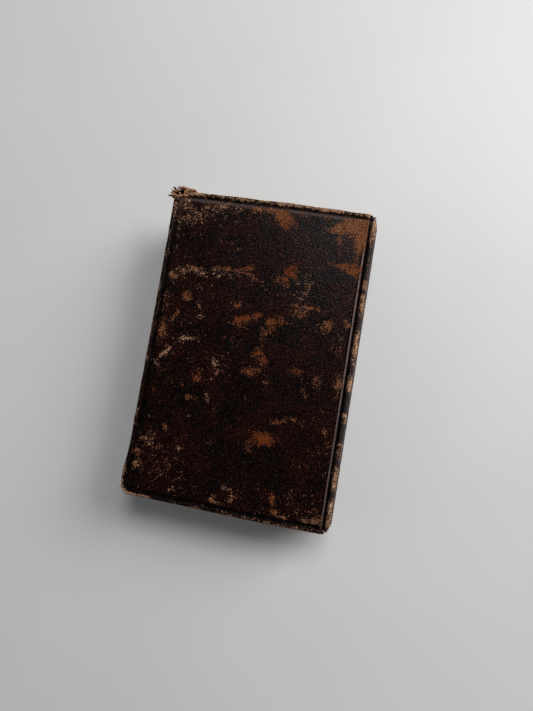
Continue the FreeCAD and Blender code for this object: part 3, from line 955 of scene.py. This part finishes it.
def add_shred(points, faces, skins, start, heading, length, width, curl, thick, skin):
    """A tapering strip that curls up or down as it leaves its root; closed all round."""
    parts = SHRED_PARTS
    base = len(points)
    here = Vector(start)
    direction = Vector(heading).normalized()
    side = direction.cross(Vector((0, 0, 1)))
    side = side.normalized() if side.length > 0.1 else Vector((1, 0, 0))
    turn = Matrix.Rotation(curl / parts, 3, side)
    for k in range(parts + 1):
        share = k / parts
        half = width / 2 * (1 - share**2 * 0.7)
        up = direction.cross(side).normalized() * thick / 2 * (1 - 0.6 * share)
        for corner in (side * half - up, side * half + up, -side * half + up, -side * half - up):
            points.append(tuple(here + corner))
            skins.append(skin * (1 - 0.6 * share))
        direction = turn @ direction
        here = here + direction * (length / parts)
    for k in range(parts):
        a = base + 4 * k
        for j in range(4):
            b = (j + 1) % 4
            faces.append((a + j, a + b, a + 4 + b, a + 4 + j))
    faces.append((base, base + 1, base + 2, base + 3))
    end = base + 4 * parts
    faces.append((end, end + 1, end + 2, end + 3))


def fray(name, body, roots, look, seed):
    """Shreds and fibres along torn edges. Each root has two ends, the way out, a count, the greatest length,
    a range of z, and the share of thin fibres."""
    draw = random.Random(seed)
    points, faces, skins = [], [], []
    for (x0, y0), (x1, y1), (ox, oy), count, length, (z0, z1), fineness in roots:
        for _ in range(count):
            s = draw.random()
            z = draw.uniform(z0, z1)
            start = (x0 + (x1 - x0) * s, y0 + (y1 - y0) * s, z)
            fibre = draw.random() < fineness
            spread = 0.5 if fibre else 0.28
            heading = (ox + draw.gauss(0, spread), oy + draw.gauss(0, spread), draw.gauss(0.05, 0.30))
            reach = length * draw.uniform(0.35, 1.0)
            width = draw.uniform(0.05, 0.10) if fibre else draw.uniform(0.4, 1.2)
            thick = width * 0.8 if fibre else draw.uniform(0.14, 0.30)
            curl = draw.gauss(0.0, 0.8)
            skin = 1.0 if (not fibre and draw.random() < 0.25) else 0.0
            add_shred(points, faces, skins, start, heading, reach, width, curl, thick, skin)
    low, high = cad_low / MM - REACH_LOW, cad_high / MM + REACH_HIGH
    points = [tuple(min(max(p[a], low[a]), high[a]) for a in range(3)) for p in points]
    made = new_object(name, points, faces)
    set_values(made, skin=skins)
    made.data.materials.append(look)
    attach(made, body)


FRONT_FRAY = [
    ((-39.8, 56.4), (-40.3, 59.6), (-0.8, 0.30), 26, 1.8, (20.8, 22.9), 0.25),
    ((-37.0, 57.4), (-33.0, 60.5), (-1.0, -0.02), 90, 6.5, (21.6, 23.3), 0.30),
    ((-40.4, 58.2), (-31.5, 60.3), (-0.6, 0.35), 60, 2.0, (21.5, 23.2), 0.30),
    ((-39.4, 57.0), (-34.0, 57.8), (-0.8, 0.25), 24, 2.4, (22.9, 23.1), 0.40),
    ((-40.0, -53.0), (-40.2, -57.0), (-0.9, -0.4), 26, 1.0, (20.6, 22.8), 0.85),
    ((-39.5, -58.3), (-34.0, -59.0), (-0.3, -0.9), 22, 0.9, (20.6, 22.7), 0.85),
]
SPINE_FRAY = [
    ((37.9, 58.1), (39.0, 56.2), (0.8, 0.6), 26, 1.1, (19.0, 21.9), 0.9),
    ((39.0, 54.0), (39.0, 20.0), (0.9, 0.1), 30, 1.0, (20.4, 21.6), 1.0),
    ((37.9, -58.1), (39.0, -56.2), (0.8, -0.6), 30, 1.2, (19.0, 21.9), 0.9),
    ((39.0, -52.0), (39.0, -30.0), (0.9, -0.1), 20, 1.0, (20.4, 21.6), 1.0),
    ((37.9, 58.1), (39.0, 56.2), (0.8, 0.6), 14, 1.0, (1.6, 4.0), 0.9),
    ((37.9, -58.1), (39.0, -56.2), (0.8, -0.6), 14, 1.0, (1.6, 4.0), 0.9),
]

# ---------------------------------------------------------------- build
leather = leather_look()
cover_leather("front", FRONT_PATCHES, 1.3, leather)
cover_leather("back", BACK_PATCHES, 5.1, leather)
spine_skin(leather)

leaf_paper = paper_look("leaf_paper", (0.66, 0.59, 0.45, 1), (0.59, 0.50, 0.36, 1))
leaf_edges = paper_look("leaf_edges", (0.55, 0.45, 0.31, 1), (0.43, 0.32, 0.20, 1), edge_lines=True)
end_paper = paper_look("end_paper", (0.60, 0.52, 0.38, 1), (0.50, 0.40, 0.27, 1))
for number in range(1, GATHERINGS + 1):
    body = f"gathering_{number:02d}"
    leaf_block(body, LEAVES_PER_GATHERING, leaf_paper, leaf_edges, f"leaves_{number:02d}")
for side in ("front", "back"):
    flyleaf = f"{side}_flyleaf"
    leaf_block(flyleaf, 1, end_paper, leaf_edges, f"{side}_free_leaf")
silk = silk_look()
endband("head_band", silk)
endband("tail_band", silk)
torn = frayed_look()
fray("front_corner_fray", "front_cover", FRONT_FRAY, torn, 11)
fray("spine_edge_fray", "spine", SPINE_FRAY, torn, 12)

# The CAD nodes that stay as they are, by material.
CAD_LOOKS = {
    board_look(): ("front_board", "back_board"),
    end_paper: ("front_pastedown", "back_pastedown"),
    leaf_edges: ("gathering_folds",),
    woven_look("linen_tape", (0.50, 0.44, 0.33, 1), (0.22, 0.17, 0.11, 1), 0.35): (
        "sewing_tapes",
        "front_tape_slips",
        "back_tape_slips",
    ),
    woven_look("linen_thread", (0.58, 0.51, 0.38, 1), (0.30, 0.24, 0.16, 1), 0.15): (
        "sewing_thread",
        "kettle_stitches",
    ),
    woven_look("mull_lining", (0.46, 0.42, 0.34, 1), (0.16, 0.11, 0.07, 1), 0.6): ("spine_lining",),
    paper_look("inlay_paper", (0.25, 0.17, 0.10, 1), (0.19, 0.12, 0.07, 1)): ("spine_inlay",),
}
for look, nodes in CAD_LOOKS.items():
    for node in nodes:
        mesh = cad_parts[node].data
        mesh.materials.clear()
        mesh.materials.append(look)


# ---------------------------------------------------------------- floor, light and camera
FLOOR_REACH = 4000
FLOOR_Z = -0.26  # just under the lowest point of the uneven leather
# Each light: name, place, target, size (metres), power (watts), colour.
LIGHTS = [
    ("window", (0.76, 0.56, 0.60), (0, 0, 0.01), (0.66, 0.66), 10.4, (1.0, 0.995, 0.985)),
    ("high_window", (0.14, 0.52, 0.86), (0, 0.02, 0.01), (0.34, 0.34), 3.2, (0.97, 0.985, 1.0)),
    ("room_left", (-1.1, -0.2, 0.35), (0, 0, 0.0), (1.0, 0.6), 1.7, (0.97, 0.985, 1.0)),
    ("room_front", (0.2, -1.1, 0.35), (0, 0, 0.0), (1.0, 0.6), 0.9, (0.97, 0.985, 1.0)),
]
ROOM_COLOUR, ROOM_STRENGTH = (0.92, 0.95, 1.0, 1), 0.10
CAMERA_PLACE = (34.7, -12.4, 219.3)
CAMERA_TURN = (5.16, 7.41, 9.53)
CAMERA_LENS, CAMERA_SENSOR = 27.04, 36.0


def floor():
    s = Shader("white_table")
    tone = s.mix(s.noise(60.0, 2.0), (0.61, 0.605, 0.60, 1), (0.65, 0.645, 0.64, 1))
    s.set(Base_Color=tone, Roughness=0.5, Normal=s.bump(s.noise(2.5, 3.0), 0.03, strength=0.2))
    corners = [(-1, -1), (1, -1), (1, 1), (-1, 1)]
    points = [(x * FLOOR_REACH, y * FLOOR_REACH, FLOOR_Z) for x, y in corners]
    made = new_object("table_top", points, [(0, 1, 2, 3)])
    made.data.materials.append(s.material)


def area_light(name, place, target, size, power, colour):
    data = bpy.data.lights.new(name, "AREA")
    data.shape = "RECTANGLE"
    data.size, data.size_y = size
    data.energy = power
    data.color = colour
    made = bpy.data.objects.new(name, data)
    made.location = place
    made.rotation_mode = "QUATERNION"
    made.rotation_quaternion = (Vector(target) - Vector(place)).to_track_quat("-Z", "Y")
    bpy.context.scene.collection.objects.link(made)


def room_light():
    world = bpy.data.worlds.new("room_light")
    bpy.context.scene.world = world
    world.use_nodes = True
    background = world.node_tree.nodes["Background"]
    background.inputs["Color"].default_value = ROOM_COLOUR
    background.inputs["Strength"].default_value = ROOM_STRENGTH


def camera():
    data = bpy.data.cameras.new("camera")
    data.lens = CAMERA_LENS
    data.sensor_width = CAMERA_SENSOR
    data.clip_start = 0.01
    made = bpy.data.objects.new("camera", data)
    made.location = Vector(CAMERA_PLACE) * MM
    made.rotation_euler = [math.radians(a) for a in CAMERA_TURN]
    bpy.context.scene.collection.objects.link(made)
    bpy.context.scene.camera = made


floor()
for light in LIGHTS:
    area_light(*light)
room_light()
bpy.context.scene.view_settings.view_transform = "Standard"
bpy.context.scene.view_settings.look = "Medium High Contrast"
camera()
